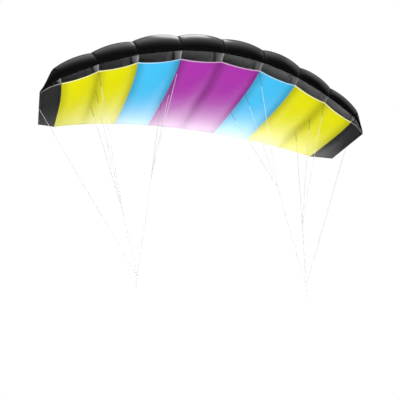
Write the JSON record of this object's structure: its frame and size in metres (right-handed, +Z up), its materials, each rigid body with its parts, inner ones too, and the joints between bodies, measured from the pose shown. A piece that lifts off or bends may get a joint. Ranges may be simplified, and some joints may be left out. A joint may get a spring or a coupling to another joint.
{
  "type": "foil kite",
  "caption": "Inflated ram-air foil kite with open leading-edge cells, coloured bottom panels, ribs with cross-ports and a cascaded bridle gathered to a pair of tow loops.",
  "frame": {"origin": "midway between the lower ends of the two tow loops, where the flying lines hold the kite", "axes": "+X along the span, +Y from the leading edge to the trailing edge, +Z up"},
  "size_m": [1.5014, 0.6496, 1.1352],
  "materials": {
    "black_ripstop": "coated ripstop, soft gloss",
    "yellow_ripstop": "thin coated ripstop that lets light through",
    "cyan_ripstop": "thin coated ripstop that lets light through",
    "magenta_ripstop": "thin coated ripstop that lets light through",
    "grey_rib_cloth": "firm coated ripstop",
    "bridle_cord": "braided polyester"
  },
  "bodies": {
    "root": {"top_panel_01": "black_ripstop", "top_panel_02": "black_ripstop", "top_panel_03": "black_ripstop", "top_panel_04": "black_ripstop", "top_panel_05": "black_ripstop", "top_panel_06": "black_ripstop", "top_panel_07": "black_ripstop", "top_panel_08": "black_ripstop", "top_panel_09": "black_ripstop", "top_panel_10": "black_ripstop", "bottom_panel_01": "black_ripstop", "bottom_panel_02": "yellow_ripstop", "bottom_panel_03": "yellow_ripstop", "bottom_panel_04": "cyan_ripstop", "bottom_panel_05": "magenta_ripstop", "bottom_panel_06": "magenta_ripstop", "bottom_panel_07": "cyan_ripstop", "bottom_panel_08": "yellow_ripstop", "bottom_panel_09": "yellow_ripstop", "bottom_panel_10": "black_ripstop", "rib_1": "grey_rib_cloth", "rib_2": "grey_rib_cloth", "rib_3": "grey_rib_cloth", "rib_4": "grey_rib_cloth", "rib_5": "grey_rib_cloth", "rib_6": "grey_rib_cloth", "rib_7": "grey_rib_cloth", "rib_8": "grey_rib_cloth", "rib_9": "grey_rib_cloth", "inner_front_line_left": "bridle_cord", "inner_middle_line_left": "bridle_cord", "inner_rear_line_left": "bridle_cord", "inner_leader_left": "bridle_cord", "inner_knot_left": "bridle_cord", "outer_front_line_left": "bridle_cord", "outer_middle_line_left": "bridle_cord", "outer_rear_line_left": "bridle_cord", "outer_leader_left": "bridle_cord", "outer_knot_left": "bridle_cord", "tip_line_left": "bridle_cord", "tow_knot_left": "bridle_cord", "tow_loop_left": "bridle_cord", "inner_front_line_right": "bridle_cord", "inner_middle_line_right": "bridle_cord", "inner_rear_line_right": "bridle_cord", "inner_leader_right": "bridle_cord", "inner_knot_right": "bridle_cord", "outer_front_line_right": "bridle_cord", "outer_middle_line_right": "bridle_cord", "outer_rear_line_right": "bridle_cord", "outer_leader_right": "bridle_cord", "outer_knot_right": "bridle_cord", "tip_line_right": "bridle_cord", "tow_knot_right": "bridle_cord", "tow_loop_right": "bridle_cord"}
  },
  "joints": []
}
